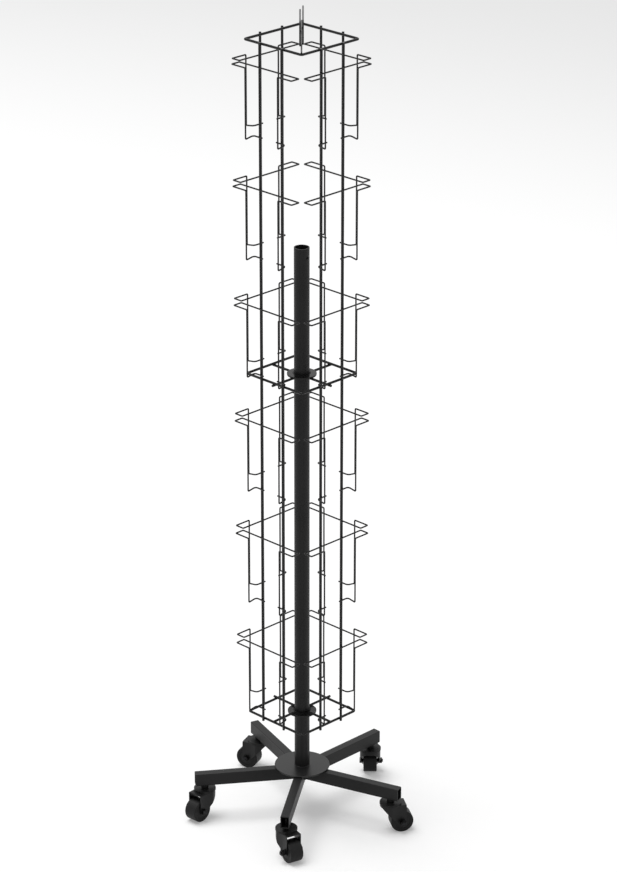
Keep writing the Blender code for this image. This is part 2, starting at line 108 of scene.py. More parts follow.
# %% Wrap a socket
class Socket:
    """A node's output. Arithmetic on it adds Math nodes to its tree."""

    def __init__(self, tree, output=None):
        self.tree = tree
        self.output = output

    def node(self, kind, settings=None, inputs=None, output=0):
        made = self.tree.nodes.new("ShaderNode" + kind)
        for key, value in (settings or {}).items():
            setattr(made, key, value)
        for key, value in (inputs or {}).items():
            self.feed(made.inputs[key], value)
        return Socket(self.tree, made.outputs[output])

    def feed(self, target, value):
        if isinstance(value, Socket):
            self.tree.links.new(value.output, target)
        else:
            target.default_value = value

    def maths(self, operation, first, second):
        return self.node("Math", {"operation": operation}, {0: first, 1: second})

    def __add__(self, other):
        return self.maths("ADD", self, other)

    def __radd__(self, other):
        return self.maths("ADD", other, self)

    def __sub__(self, other):
        return self.maths("SUBTRACT", self, other)

    def __rsub__(self, other):
        return self.maths("SUBTRACT", other, self)

    def __mul__(self, other):
        return self.maths("MULTIPLY", self, other)

    def __rmul__(self, other):
        return self.maths("MULTIPLY", other, self)

    def tint(self, first, second):
        """A colour between two, with this value as the share of the second."""
        return self.node("Mix", {"data_type": "RGBA"}, {0: self, 6: (*first, 1), 7: (*second, 1)}, 2)

    def between(self, low, high):
        """This value stretched so that low becomes 0 and high becomes 1, with a soft start and end."""
        settings = {"interpolation_type": "SMOOTHSTEP"}
        return self.node("MapRange", settings, {"Value": self, "From Min": low, "From Max": high})


def new_finish(name, **sockets):
    """A Principled material. Its plain values are set on the shader's own sockets."""
    made = bpy.data.materials.new(name)
    made.use_nodes = True
    shader = made.node_tree.nodes["Principled BSDF"]
    for key, value in sockets.items():
        shader.inputs[key.replace("_", " ").title().replace("Ior", "IOR")].default_value = value
    return made, shader, Socket(made.node_tree)


# %% [markdown]
# ## The studio
#
# The rack stands on a pale floor in soft light from all round. The floor keeps the shadow under
# the casters, and a little light of its own, which only the camera and reflections see, lifts it to
# white. Far behind the rack that light fades, as it does in the photograph, to the grey of the
# backdrop. The rack is lit at a plain level, by the dome, the lamp and what the floor throws back.

# %% Floor
FLOOR_SIZE = 120.0
FLOOR_COLOUR = (0.80, 0.80, 0.80)
FAR_COLOUR = (0.755, 0.755, 0.755)
FLOOR_GLOW = 0.23
FADE_CENTRE = (2.24, -14.0, 0)
FADE_START = 15.97
FADE_END = 19.61

bpy.ops.mesh.primitive_plane_add(size=FLOOR_SIZE)
floor = bpy.context.object
floor.name = "floor"
floor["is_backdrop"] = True


def seen_rays(tree):
    """1 for the rays that reach the picture straight or by a mirror or glass, 0 for the rest."""
    camera_ray = tree.node("LightPath", output="Is Camera Ray")
    glossy_ray = tree.node("LightPath", output="Is Glossy Ray")
    clear_ray = tree.node("LightPath", output="Is Transmission Ray")
    return tree.maths("MAXIMUM", tree.maths("MAXIMUM", camera_ray, glossy_ray), clear_ray)


floor_finish, floor_shader, tree = new_finish("pale_floor", roughness=0.9, specular_ior_level=0.0)
floor_shader.inputs["Emission Strength"].default_value = 1.0
spot = tree.node("TexCoord", output="Object")
reach = tree.node("VectorMath", {"operation": "DISTANCE"}, {0: spot, 1: FADE_CENTRE}, "Value")
fade = reach.between(FADE_START, FADE_END)
tree.feed(floor_shader.inputs["Base Color"], fade.tint(FLOOR_COLOUR, FAR_COLOUR))
tree.feed(floor_shader.inputs["Emission Color"], (1.0 - fade) * FLOOR_GLOW * seen_rays(tree))
floor.data.materials.append(floor_finish)
print("floor", FLOOR_SIZE, "m wide")

# %% Light from all round
DOME_STRENGTH = 0.45
DOME_SEEN = 1.0

world = bpy.data.worlds.new("studio")
world.use_nodes = True
bpy.context.scene.world = world
sky = Socket(world.node_tree)
backdrop = world.node_tree.nodes["Background"]
backdrop.inputs["Color"].default_value = (1, 1, 1, 1)
sky.feed(backdrop.inputs["Strength"], seen_rays(sky) * (DOME_SEEN - DOME_STRENGTH) + DOME_STRENGTH)
print("dome of", DOME_STRENGTH, "that looks like", DOME_SEEN)

# %% A broad lamp
LAMP_FROM = Vector((-0.25, -0.12, 1.0))
LAMP_STRENGTH = 1.95
LAMP_SPREAD = radians(40)

bpy.ops.object.light_add(type="SUN", rotation=LAMP_FROM.to_track_quat("Z", "Y").to_euler())
lamp = bpy.context.object
lamp.name = "broad_lamp"
lamp.data.energy = LAMP_STRENGTH
lamp.data.angle = LAMP_SPREAD
print("broad lamp of", LAMP_STRENGTH)

# %% [markdown]
# ## The finishes
#
# Everything here is black, and yet no two blacks are alike. Baked powder paint has the dimples of
# orange peel, about a millimetre apart, and a soft sheen that grows at flat angles. The powder on
# the legs is coarser, dipped fork paint is duller, moulded wheels are grainy, and the zinc on the
# bolts is a dark metal. Each finish reads object coordinates, so its grain keeps its real size on
# every piece.

# %% Powder paint
CLOUD_SCALE = 24.0
CLOUD_RANGE = (0.3, 0.7)
CLOUD_DULLING = 0.08
PEEL_SCALE = 850.0
PEEL_STRENGTH = 0.55
DUST_SCALE = 2600.0
DUST_RANGE = (0.70, 0.78)
DUST_SHARE = 0.25
DUST_DULLING = 0.05
GLOSS_DIP = 0.05


def powder_paint(name, blacks, shine, roughness, peel_depth):
    """Baked paint: faint clouds of colour, a satin gloss that varies, and orange peel."""
    made, shader, tree = new_finish(name, specular_ior_level=shine)
    where = tree.node("TexCoord", output="Object")
    clouds = tree.node("TexNoise", {}, {"Vector": where, "Scale": CLOUD_SCALE, "Detail": 4.0})
    peel = tree.node("TexNoise", {}, {"Vector": where, "Scale": PEEL_SCALE, "Detail": 1.5})
    specks = tree.node("TexNoise", {}, {"Vector": where, "Scale": DUST_SCALE, "Detail": 0.0})
    dust = specks.between(*DUST_RANGE)
    shade = clouds.between(*CLOUD_RANGE) * (1 - DUST_SHARE) + dust * DUST_SHARE
    tree.feed(shader.inputs["Base Color"], shade.tint(*blacks))
    dullness = roughness - GLOSS_DIP + clouds * CLOUD_DULLING + dust * DUST_DULLING
    tree.feed(shader.inputs["Roughness"], dullness)
    bump = tree.node("Bump", {}, {"Strength": PEEL_STRENGTH, "Distance": peel_depth, "Height": peel})
    tree.feed(shader.inputs["Normal"], bump)
    return made


JET_BLACKS = ((0.0040, 0.0040, 0.0041), (0.0062, 0.0062, 0.0063))
SATIN_BLACKS = ((0.0052, 0.0052, 0.0053), (0.0076, 0.0076, 0.0077))

wire_paint = powder_paint("wire_paint", JET_BLACKS, shine=0.23, roughness=0.25, peel_depth=0.00002)
tube_paint = powder_paint("tube_paint", SATIN_BLACKS, shine=0.23, roughness=0.44, peel_depth=0.00004)
base_paint = powder_paint("base_paint", SATIN_BLACKS, shine=0.41, roughness=0.39, peel_depth=0.00003)
leg_paint = powder_paint("leg_paint", SATIN_BLACKS, shine=0.25, roughness=0.45, peel_depth=0.00006)
fork_paint = powder_paint("fork_paint", JET_BLACKS, shine=0.24, roughness=0.42, peel_depth=0.00002)
print("paints", [paint.name for paint in (wire_paint, tube_paint, base_paint, leg_paint, fork_paint)])

# %% Moulded plastic and zinc
MOULDED_SHINE = 0.20
GRAIN_SCALE = 1400.0
GRAIN_STRENGTH = 0.5
RUB_SCALE = 120.0
RUB_RANGE = (0.45, 0.75)
RUB_DULLING = 0.12
MOTTLE_SCALE = 260.0
MOTTLE_RANGE = (0.35, 0.7)
MOTTLE_DULLING = 0.14
MOTTLE_PATINA = 0.25
ZINC_BROWN = (0.012, 0.0115, 0.011)
ZINC_BLUE = (0.019, 0.0195, 0.022)
ZINC_ROUGHNESS = 0.34


def moulded(name, dark, pale, roughness, grain_depth):
    """A moulded black: a fine grain from the tool, with paler rubbing on the high spots."""
    made, shader, tree = new_finish(name, specular_ior_level=MOULDED_SHINE)
    where = tree.node("TexCoord", output="Object")
    grain = tree.node("TexVoronoi", {}, {"Vector": where, "Scale": GRAIN_SCALE})
    wear = tree.node("TexNoise", {}, {"Vector": where, "Scale": RUB_SCALE, "Detail": 5.0})
    rubbed = wear.between(*RUB_RANGE)
    tree.feed(shader.inputs["Base Color"], rubbed.tint(dark, pale))
    tree.feed(shader.inputs["Roughness"], roughness + rubbed * RUB_DULLING)
    bump = tree.node("Bump", {}, {"Strength": GRAIN_STRENGTH, "Distance": grain_depth, "Height": grain})
    tree.feed(shader.inputs["Normal"], bump)
    return made


def dark_zinc(name):
    """Bolts in black zinc: a dark metal, mottled brown and blue where the bath was uneven."""
    made, shader, tree = new_finish(name)
    where = tree.node("TexCoord", output="Object")
    bath = tree.node("TexNoise", {}, {"Vector": where, "Scale": MOTTLE_SCALE, "Detail": 4.0})
    mottle = bath.between(*MOTTLE_RANGE)
    tree.feed(shader.inputs["Base Color"], mottle.tint(ZINC_BROWN, ZINC_BLUE))
    tree.feed(shader.inputs["Roughness"], ZINC_ROUGHNESS + mottle * MOTTLE_DULLING)
    tree.feed(shader.inputs["Metallic"], 1.0 - mottle * MOTTLE_PATINA)
    return made


WHEEL_BLACKS = ((0.0055, 0.0055, 0.0056), (0.0100, 0.0100, 0.0100))
NYLON_BLACKS = ((0.0060, 0.0060, 0.0061), (0.0090, 0.0090, 0.0091))

wheel_plastic = moulded("wheel_plastic", *WHEEL_BLACKS, roughness=0.50, grain_depth=0.00003)
bush_nylon = moulded("bush_nylon", *NYLON_BLACKS, roughness=0.44, grain_depth=0.00002)
bolt_zinc = dark_zinc("bolt_zinc")
print("finishes", sorted(material.name for material in bpy.data.materials if material.users == 0))

# %% [markdown]
# ## Tools for modelling by hand
#
# The next cell repeats what a hand does in edit mode: pick faces or edges by where they are, cut
# one piece with another, soften edges, join, and copy. It keeps the piece at the origin, with its
# place in its mesh, so that grain and poses stay where they belong.

# %% Pick, cut, soften, join, copy
SAME_SPOT = 1e-6
SHARP_ANGLE = radians(35)


def middle(item):
    """The middle of an edge or a face."""
    spots = [vert.co for vert in item.verts]
    return sum(spots, Vector()) / len(spots)


def pick(kind, wanted):
    """In edit mode, select only the edges or faces that pass a test."""
    bpy.ops.mesh.select_mode(type=kind)
    bpy.ops.mesh.select_all(action="DESELECT")
    mesh = bpy.context.object.data
    shape = bmesh.from_edit_mesh(mesh)
    for item in {"EDGE": shape.edges, "FACE": shape.faces}[kind]:
        if wanted(item):
            item.select_set(True)
    shape.select_flush_mode()
    bmesh.update_edit_mesh(mesh)


def start_edit():
    """Give the new primitive its place in its mesh, and open it with everything selected."""
    bpy.ops.object.transform_apply(location=True, rotation=True, scale=True)
    bpy.ops.object.mode_set(mode="EDIT")
    bpy.ops.mesh.select_mode(type="VERT")
    bpy.ops.mesh.select_all(action="SELECT")


def end_edit(name):
    """Merge doubles, turn the faces outwards and close edit mode."""
    bpy.ops.mesh.select_mode(type="VERT")
    bpy.ops.mesh.select_all(action="SELECT")
    bpy.ops.mesh.remove_doubles(threshold=SAME_SPOT)
    bpy.ops.mesh.normals_make_consistent(inside=False)
    bpy.ops.object.mode_set(mode="OBJECT")
    bpy.context.object.name = name
    return bpy.context.object


def block(name, place, size):
    """A plain box, used as a cutter or joined into a piece."""
    bpy.ops.mesh.primitive_cube_add(size=1, location=place, scale=size)
    start_edit()
    return end_edit(name)


def make_active(piece):
    """Select one piece alone, as operators expect."""
    bpy.ops.object.select_all(action="DESELECT")
    piece.select_set(True)
    bpy.context.view_layer.objects.active = piece


def apply_step(piece, kind, **settings):
    """Add a modifier and apply it."""
    make_active(piece)
    step = piece.modifiers.new("step", kind)
    for key, value in settings.items():
        setattr(step, key, value)
    bpy.ops.object.modifier_apply(modifier=step.name)


def carve(piece, tool, operation="DIFFERENCE"):
    """Cut a piece with a tool, or join or keep what they share. The tool goes."""
    apply_step(piece, "BOOLEAN", operation=operation, object=tool)
    bpy.data.objects.remove(tool)


def soften(piece, width, segments=2):
    """Round the sharp edges, and merge the points where two roundings meet."""
    apply_step(
        piece, "BEVEL", width=width, segments=segments, limit_method="ANGLE", angle_limit=SHARP_ANGLE
    )
    bpy.ops.object.mode_set(mode="EDIT")
    bpy.ops.mesh.select_all(action="SELECT")
    bpy.ops.mesh.remove_doubles(threshold=SAME_SPOT)
    bpy.ops.object.mode_set(mode="OBJECT")


def join(first, *others):
    """Make several pieces one mesh, under the first one's name."""
    make_active(first)
    for other in others:
        other.select_set(True)
    bpy.ops.object.join()
    return first


def copy_of(model, name, move):
    """A copy with its own mesh, moved in the mesh."""
    made = model.copy()
    made.data = model.data.copy()
    made.data.transform(move)
    made.name = name
    made.data.name = name
    bpy.context.scene.collection.objects.link(made)
    return made


def dress(piece, finish, slot, body, *nodes):
    """Shade a finished piece, give it its finish, hang it on the body that carries it, and hide the solids
    it stands for. The slot is not used.
    """
    make_active(piece)
    bpy.ops.object.shade_smooth_by_angle(angle=SHARP_ANGLE)
    apply_step(piece, "WEIGHTED_NORMAL", keep_sharp=True)
    piece.data.materials.clear()
    piece.data.materials.append(finish)
    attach(piece, body)
    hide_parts(*nodes)
    return piece


def use_up(model):
    """Remove a model that was only there to be copied."""
    bpy.data.objects.remove(model)


# %% [markdown]
# ## Bending wire
#
# A wire bender pushes straight wire forward and swings it round a pin. The same two moves make it
# here: a filled circle is extruded along each straight run and spun through each bend. A curve with
# a bevel would also do, but it pinches at tight corners, and spinning keeps the wire round.

# %% A bent wire
WIRE_SIDES = 16
BEND_STEPS = 7
CUT_ROUND = 0.00025


def bent_wire(name, corners, bends, diameter):
    """A round wire through its corners, with a bend of its own radius at each inner one."""
    heading = (corners[1] - corners[0]).to_track_quat("Z", "Y").to_euler()
    bpy.ops.mesh.primitive_circle_add(
        vertices=WIRE_SIDES, radius=diameter / 2, fill_type="NGON", location=corners[0], rotation=heading
    )
    start_edit()
    place = corners[0]
    for before, corner, after, radius in zip(corners, corners[1:], corners[2:], bends):
        way_in = (corner - before).normalized()
        way_out = (after - corner).normalized()
        angle = way_in.angle(way_out)
        start = corner - way_in * radius * tan(angle / 2)
        pin = way_in.cross(way_out).normalized()
        centre = start + pin.cross(way_in) * radius
        bpy.ops.mesh.extrude_region_move(TRANSFORM_OT_translate={"value": start - place})
        bpy.ops.mesh.spin(steps=BEND_STEPS, angle=-angle, center=centre, axis=pin)
        place = corner + way_out * radius * tan(angle / 2)
    bpy.ops.mesh.extrude_region_move(TRANSFORM_OT_translate={"value": corners[-1] - place})
    return end_edit(name)


def is_cap(face):
    """Whether a face is the cut end of a wire."""
    return len(face.verts) == WIRE_SIDES


def round_cuts(piece):
    """Break the edge of a wire's two cut ends."""
    make_active(piece)
    bpy.ops.object.mode_set(mode="EDIT")
    pick("FACE", is_cap)
    bpy.ops.mesh.bevel(offset=CUT_ROUND, segments=2, affect="EDGES")
    return end_edit(piece.name)


def close_ring(piece):
    """Join a wire's two ends where they meet."""
    make_active(piece)
    bpy.ops.object.mode_set(mode="EDIT")
    pick("FACE", is_cap)
    bpy.ops.mesh.delete(type="ONLY_FACE")
    return end_edit(piece.name)


def weld_spot(place, radii):
    """A bead of squeezed-out metal where two wires were welded."""
    bpy.ops.mesh.primitive_ico_sphere_add(subdivisions=2, radius=1, location=place, scale=radii)
    start_edit()
    return end_edit("weld_spot")


# %% [markdown]
# ## The card pockets
#
# Each pocket is one wire. From a short tail on one upright it runs out along the face, swings
# forward, climbs the front, turns out along a lip, back to the face, and crosses both uprights.
# The other half mirrors it. It is drawn once, on the face towards +X, with the post's axis at the
# origin, and copied to six tiers on four faces.

# %% Draw one pocket
GAP = 0.0003
RING_EDGE = 0.1300
RING_WIRE = 0.0044
ROD_WIRE = 0.0044
ROD_SPACING = 0.0500
POCKET_WIRE = 0.0027
POCKET_WIDTH = 0.1355
POCKET_DEPTH = 0.0171
POCKET_HEIGHT = 0.1193
POCKET_LIP = 0.0308
POCKET_TAIL = 0.0090
POCKET_FLOOR_RISE = 0.0028
POCKET_HEEL_BEND = 0.0050
POCKET_FRONT_BEND = 0.0018

rod_offset = RING_EDGE / 2 + RING_WIRE / 2 + GAP + ROD_WIRE / 2
pocket_back = rod_offset + ROD_WIRE / 2 + GAP + POCKET_WIRE / 2
pocket_front = pocket_back + POCKET_DEPTH
lip_start = POCKET_WIDTH / 2 - POCKET_LIP
tail_height = POCKET_FLOOR_RISE - POCKET_HEIGHT

half = [
    Vector((pocket_back, ROD_SPACING / 2 - POCKET_TAIL, tail_height)),
    Vector((pocket_back, lip_start, tail_height)),
    Vector((pocket_front, lip_start, -POCKET_HEIGHT)),
    Vector((pocket_front, lip_start, 0)),
    Vector((pocket_front, POCKET_WIDTH / 2, 0)),
    Vector((pocket_back, POCKET_WIDTH / 2, 0)),
]
mirrored = [Vector((spot.x, -spot.y, spot.z)) for spot in reversed(half)]
half_bends = [POCKET_HEEL_BEND] + [POCKET_FRONT_BEND] * (len(half) - 2)
pocket = bent_wire("pocket_model", half + mirrored, half_bends + half_bends[::-1], POCKET_WIRE)
round_cuts(pocket)
print("one pocket", len(pocket.data.vertices), "vertices")

# %% Weld and copy the pockets
POCKET_WELD = (0.0009, 0.0017, 0.0015)
TIERS = 6
TIER_PITCH = 0.2060

weld_offset = rod_offset + ROD_WIRE / 2 + GAP / 2
welds = []
for side in (-1, 1):
    for height in (0, tail_height):
        welds.append(weld_spot((weld_offset, side * ROD_SPACING / 2, height), POCKET_WELD))
join(pocket, *welds)

to_post = Matrix.Translation(post_axis)
top_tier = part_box("card_pocket_a1")[1].z - POCKET_WIRE / 2
quarter_turns = {letter: pi / 2 * face for face, letter in enumerate("abcd")}
for letter, turn in quarter_turns.items():
    for tier in range(TIERS):
        lift = Matrix.Translation((0, 0, top_tier - TIER_PITCH * tier))
        name = f"{letter}{tier + 1}"
        made = copy_of(pocket, f"pocket_wire_{name}", to_post @ lift @ Matrix.Rotation(turn, 4, "Z"))
        dress(made, wire_paint, "wire_paint", "cage", f"card_pocket_{name}")
use_up(pocket)
print("pockets", TIERS * len(quarter_turns), "from height", round(top_tier, 4))

# %% [markdown]
# ## The uprights
#
# Two thicker rods on each face carry the pockets. A rod is straight, so one extrusion makes it. Its
# weld beads sit on its inner side, where it crosses the three square rings.

# %% Uprights
ROD_WELD = (0.0009, 0.0018, 0.0018)

rod_low, rod_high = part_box("rod_a_left")
ring_low, ring_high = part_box("top_ring")
ring_heights = {
    "top_ring": (ring_low.z + ring_high.z) / 2,
    "middle_hub_ring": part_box("middle_hub_ring")[1].z - RING_WIRE / 2,
    "bottom_hub_ring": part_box("bottom_hub_ring")[0].z + RING_WIRE / 2,
}

for letter, turn in quarter_turns.items():
    for side, sign in (("left", -1), ("right", 1)):
        across = sign * ROD_SPACING / 2
        ends = [Vector((rod_offset, across, rod_low.z)), Vector((rod_offset, across, rod_high.z))]
        rod = round_cuts(bent_wire(f"upright_{letter}_{side}", ends, [], ROD_WIRE))
        seat = rod_offset - ROD_WIRE / 2 - GAP / 2
        beads = [weld_spot((seat, across, height), ROD_WELD) for height in ring_heights.values()]
        join(rod, *beads)
        rod.data.transform(to_post @ Matrix.Rotation(turn, 4, "Z"))
        dress(rod, wire_paint, "wire_paint", "cage", f"rod_{letter}_{side}")
print("uprights from", round(rod_low.z, 4), "to", round(rod_high.z, 4))

# %% [markdown]
# ## Turned pieces
#
# Discs, bushes, the post, the plate and the caster cups are round. A lathe makes them: one vertex
# is drawn along half of the section, and that line is spun right round Z.

# %% A lathe
ROUND_SIDES = 64
SMALL_SIDES = 32
LATHE_START = 0.001


def lathe(name, section, sides=ROUND_SIDES):
    """Spin a section of (radius, height) points round Z."""
    (radius, height), *others = section
    bpy.ops.mesh.primitive_plane_add(size=LATHE_START, location=(radius, 0, height))
    start_edit()
    bpy.ops.mesh.merge(type="CENTER")
    for next_radius, next_height in others:
        step = (next_radius - radius, 0, next_height - height)
        bpy.ops.mesh.extrude_region_move(TRANSFORM_OT_translate={"value": step})
        radius, height = next_radius, next_height
    bpy.ops.mesh.select_all(action="SELECT")
    bpy.ops.mesh.spin(steps=sides, angle=2 * pi, center=(0, 0, 0), axis=(0, 0, 1))
    return end_edit(name)


def bar(radius, low, high, sides=ROUND_SIDES):
    """A plain round bar on Z, used as a cutter or joined into a piece."""
    return lathe("bar", [(0, high), (radius, high), (radius, low), (0, low)], sides)


def lie_along(piece, axis, place=(0, 0, 0)):
    """Turn a piece from Z to lie along X or Y, then move it."""
    turn = Matrix.Rotation(pi / 2, 4, "Y") if axis == "X" else Matrix.Rotation(-pi / 2, 4, "X")
    piece.data.transform(Matrix.Translation(place) @ turn)
    return piece


# %% [markdown]
# ## The rings and hubs
#
# Three squares of wire hold the uprights apart. The middle and the bottom one also carry a bored
# disc on four spokes, and a nylon bush in the disc turns on the post. The bottom hub is the middle
# one turned over.

# %% Square rings
RING_BEND = 0.0040


def square_ring(name):
    """A square of wire, closed in the middle of one side."""
    edge = RING_EDGE / 2
    seam = Vector((edge, 0, 0))
    corners = [Vector((x * edge, y * edge, 0)) for x, y in ((1, 1), (-1, 1), (-1, -1), (1, -1))]
    return close_ring(bent_wire(name, [seam, *corners, seam], [RING_BEND] * 4, RING_WIRE))


ring = square_ring("top_square")
ring.data.transform(to_post @ Matrix.Translation((0, 0, ring_heights["top_ring"])))
dress(ring, wire_paint, "wire_paint", "cage", "top_ring")
print("top ring at", round(ring_heights["top_ring"], 4))

# %% Hubs and bushes
POST_DIAMETER = 0.0262
DISC_DIAMETER = 0.0500
DISC_THICKNESS = 0.0030
DISC_EDGE = 0.0003
DISC_WELD = (0.0035, 0.0028, 0.0010)
SPOKE_WIRE = 0.0044
SPOKE_OVERRUN = 0.0040
SPOKE_WELD = (0.0024, 0.0026, 0.0014)
WELD_SINK = 0.0008
BUSH_WALL = 0.0017
BUSH_FLANGE_WIDTH = 0.0033
BUSH_FLANGE_THICKNESS = 0.0015
BUSH_EDGE = 0.0002

bush_bore = POST_DIAMETER / 2 + GAP
bush_radius = bush_bore + BUSH_WALL
disc_bore = bush_radius + GAP
flange_radius = bush_radius + BUSH_FLANGE_WIDTH


def hub(name, side):
    """A ring, four spokes over it where side is 1 and under it where side is -1, and the disc."""
    spoke_height = side * ((RING_WIRE + SPOKE_WIRE) / 2 - WELD_SINK)
    near = spoke_height - side * (SPOKE_WIRE / 2 - WELD_SINK)
    low, high = sorted((near, near - side * DISC_THICKNESS))
    edge = DISC_DIAMETER / 2
    disc = lathe(name, [(disc_bore, high), (edge, high), (edge, low), (disc_bore, low), (disc_bore, high)])
    soften(disc, DISC_EDGE)
    parts = [square_ring("ring")]
    for turn in quarter_turns.values():
        way = Matrix.Rotation(turn, 3, "Z")
        inner = Vector((flange_radius + 3 * GAP, 0, spoke_height))
        outer = Vector((RING_EDGE / 2 + SPOKE_OVERRUN, 0, spoke_height))
        spoke = round_cuts(bent_wire("spoke", [inner, outer], [], SPOKE_WIRE))
        ring_bead = weld_spot((RING_EDGE / 2, 0, spoke_height / 2), SPOKE_WELD)
        disc_bead = weld_spot((edge - DISC_WELD[0], 0, near), DISC_WELD)
        join(spoke, ring_bead, disc_bead)
        spoke.data.transform(way.to_4x4())
        parts.append(spoke)
    return join(disc, *parts), low


def bush(name, disc_low):
    """A flanged bush: its sleeve in the disc's bore, its flange under the disc."""
    top = disc_low + DISC_THICKNESS
    flange_top = disc_low - GAP
    flange_low = flange_top - BUSH_FLANGE_THICKNESS
    section = [
        (bush_bore, top),
        (bush_radius, top),
        (bush_radius, flange_top),
        (flange_radius, flange_top),
        (flange_radius, flange_low),
        (bush_bore, flange_low),
        (bush_bore, top),
    ]
    made = lathe(name, section)
    soften(made, BUSH_EDGE)
    return made


for word, side in (("middle", -1), ("bottom", 1)):
    lift = to_post @ Matrix.Translation((0, 0, ring_heights[f"{word}_hub_ring"]))
    frame_piece, disc_low = hub(f"{word}_hub", side)
    frame_piece.data.transform(lift)
    dress(frame_piece, wire_paint, "wire_paint", "cage", f"{word}_hub_ring")
    sleeve = bush(f"{word}_sleeve", disc_low)
    sleeve.data.transform(lift)
    dress(sleeve, bush_nylon, "nylon", "cage", f"{word}_bush")
print("hubs at", {name: round(height, 4) for name, height in ring_heights.items()})

# %% [markdown]
# ## The sign holder
#
# A thin bar lies on the top ring from corner to corner. Two upright loops, a long one and a shorter
# one out of line with it, stand on the bar's two sides and grip a card between them.

# %% Sign holder
SIGN_WIRE = 0.0028
SIGN_BAR_OVERRUN = 0.0030
SIGN_LONG_LOOP = 0.0950
SIGN_LONG_SHIFT = -0.0055
SIGN_SHORT_LOOP = 0.0825
SIGN_SHORT_SHIFT = 0.0095
SIGN_LOOP_HEIGHT = 0.0370
SIGN_LOOP_BEND = 0.0060
SIGN_WELD = (0.0013, 0.0008, 0.0013)
SIGN_SEAT_WELD = (0.0018, 0.0018, 0.0008)
SIGN_SEAT_INSET = 0.0016

bar_half = RING_EDGE / sqrt(2) + SIGN_BAR_OVERRUN
bar_ends = [Vector((-bar_half, 0, 0)), Vector((bar_half, 0, 0))]
sign_bar = round_cuts(bent_wire("sign_loops", bar_ends, [], SIGN_WIRE))
sign_parts = []
long_loop = (1, SIGN_LONG_LOOP, SIGN_LONG_SHIFT)
short_loop = (-1, SIGN_SHORT_LOOP, SIGN_SHORT_SHIFT)
for side, length, shift in (long_loop, short_loop):
    across = side * (SIGN_WIRE - WELD_SINK / 2)
    first = shift - length / 2
    last = shift + length / 2
    foot = -SIGN_WIRE / 2
    corners = [
        Vector((first, across, foot)),
        Vector((first, across, SIGN_LOOP_HEIGHT)),
        Vector((last, across, SIGN_LOOP_HEIGHT)),
        Vector((last, across, foot)),
    ]
    sign_parts.append(round_cuts(bent_wire("loop", corners, [SIGN_LOOP_BEND] * 2, SIGN_WIRE)))
    sign_parts += [weld_spot((spot, across / 2, 0), SIGN_WELD) for spot in (first, last)]
ring_corner = RING_EDGE / sqrt(2)
for side in (-1, 1):
    seat = side * ring_corner - SIGN_SEAT_INSET * side
    sign_parts.append(weld_spot((seat, 0, -SIGN_WIRE / 2), SIGN_SEAT_WELD))
join(sign_bar, *sign_parts)
bar_height = ring_heights["top_ring"] + (RING_WIRE + SIGN_WIRE) / 2 + GAP
lift = Matrix.Translation((0, 0, bar_height))
sign_bar.data.transform(to_post @ lift @ Matrix.Rotation(-pi / 4, 4, "Z"))
dress(sign_bar, wire_paint, "wire_paint", "cage", "sign_holder")
print("sign holder bar at", round(bar_height, 4))

# %% [markdown]
# ## The post
#
# The post is a round tube with an open top and a cross hole a little below it. A pin through the
# tube carries the bottom bush, and so the whole cage.

# %% Post
POST_WALL = 0.0020
POST_HOLE_DIAMETER = 0.0045
POST_HOLE_DROP = 0.0165
PIN_DIAMETER = 0.0040
PIN_REACH = 0.0040
PIN_SIDES = 24
PIN_EDGE = 0.0004
POST_EDGE = 0.0003
CUTTER_HALF = 0.0300

post_low, post_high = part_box("post")
post_radius = POST_DIAMETER / 2
post_bore = post_radius - POST_WALL
section = [(post_bore, post_high.z), (post_radius, post_high.z)]
section += [(post_radius, post_low.z), (post_bore, post_low.z), (post_bore, post_high.z)]
post = lathe("post_tube", section)
hole_place = (0, 0, post_high.z - POST_HOLE_DROP)
cross_hole = bar(POST_HOLE_DIAMETER / 2, -CUTTER_HALF, CUTTER_HALF, SMALL_SIDES)
carve(post, lie_along(cross_hole, "X", hole_place))
soften(post, POST_EDGE)
pin_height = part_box("bottom_bush")[0].z - GAP - PIN_DIAMETER / 2
pin_half = post_radius + PIN_REACH
pin = bar(PIN_DIAMETER / 2, -pin_half, pin_half, PIN_SIDES)
soften(pin, PIN_EDGE)
join(post, lie_along(pin, "X", (0, 0, pin_height)))
post.data.transform(to_post)
dress(post, tube_paint, "tube_paint", "base", "post")
print("post from", round(post_low.z, 4), "to", round(post_high.z, 4))

# %% [markdown]
# ## The base
#
# A round plate sits on five legs of rectangular tube, with tight corners and sawn, open ends. A leg
# is a bar with its long edges rounded and a square hollow cut right through it. A small weld runs
# round the foot of the post, and a bead joins the inner end of each leg to the next one.

# %% Plate
PLATE_DIAMETER = 0.0960
PLATE_EDGE = 0.0005
PLATE_SIDES = 96
FOOT_WELD = 0.0005
FOOT_WELD_SIDES = 8

plate_low, plate_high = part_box("base_plate")
plate_radius = PLATE_DIAMETER / 2
plate = bar(plate_radius, plate_low.z, plate_high.z, PLATE_SIDES)
plate.name = "round_plate"
soften(plate, PLATE_EDGE, 3)
bpy.ops.mesh.primitive_torus_add(
    major_radius=post_radius + FOOT_WELD / 3,
    minor_radius=FOOT_WELD,
    major_segments=ROUND_SIDES,
    minor_segments=FOOT_WELD_SIDES,
    location=(0, 0, plate_high.z),
)
start_edit()
foot_weld = end_edit("foot_weld")
join(plate, foot_weld)
plate.data.transform(to_post)
dress(plate, base_paint, "base_coat", "base", "base_plate")
print("plate top at", round(plate_high.z, 4))

# %% Legs
LEGS = 5
FIRST_LEG_ANGLE = radians(18)
LEG_WIDTH = 0.0152
LEG_HEIGHT = 0.0224
LEG_WALL = 0.0015
LEG_CORNER = 0.0010
LEG_EDGE = 0.0002
LEG_REACH = 0.1888
LEG_WELD = 0.0014
LEG_WELD_SIDES = 20
STEM_RADIUS = 0.0041

